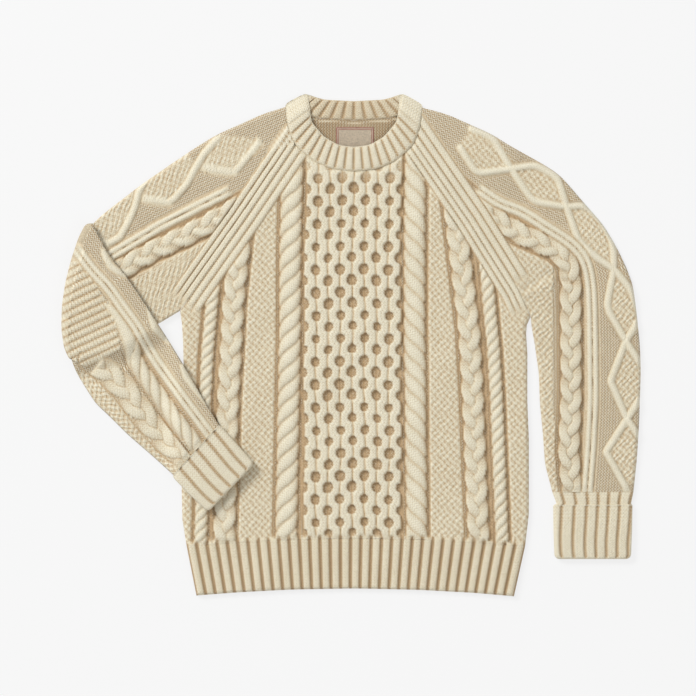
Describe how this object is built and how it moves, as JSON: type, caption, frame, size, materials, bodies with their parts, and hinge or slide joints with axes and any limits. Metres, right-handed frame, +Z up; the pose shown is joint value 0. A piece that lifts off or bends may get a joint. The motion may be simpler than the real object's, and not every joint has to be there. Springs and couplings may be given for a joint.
{
  "type": "cable knit sweater",
  "caption": "Crew neck raglan sweater in cream cable knit, laid flat with one sleeve folded over at the elbow, ribbed hem and turned-back rib cuffs.",
  "frame": {"origin": "middle of the garment's bounding box in plan, on the surface it lies on", "axes": "+X across the garment from the viewer's left sleeve to the right sleeve, +Y from the hem towards the neck, +Z up through the cloth; the front of the garment faces +Z"},
  "size_m": [0.7875, 0.6832, 0.0231],
  "materials": {
    "front_wool": "soft matt heathered cream wool knit, no coating",
    "back_wool": "soft matt heathered cream wool knit, no coating",
    "sleeve_left_wool": "soft matt heathered cream wool knit, no coating",
    "sleeve_right_wool": "soft matt heathered cream wool knit, no coating",
    "neck_wool": "soft matt heathered cream wool knit, no coating",
    "hem_front_wool": "soft matt heathered cream wool knit, no coating",
    "hem_back_wool": "soft matt heathered cream wool knit, no coating",
    "cuff_left_wool": "soft matt heathered cream wool knit, no coating",
    "cuff_right_wool": "soft matt heathered cream wool knit, no coating",
    "label_weave": "matt woven label, bare"
  },
  "bodies": {
    "root": {"front_body": "front_wool", "back_body": "back_wool", "sleeve_left": "sleeve_left_wool", "sleeve_right": "sleeve_right_wool", "neck_rib": "neck_wool", "hem_rib_front": "hem_front_wool", "hem_rib_back": "hem_back_wool", "cuff_left": "cuff_left_wool", "cuff_right": "cuff_right_wool", "neck_label": "label_weave"}
  },
  "joints": []
}
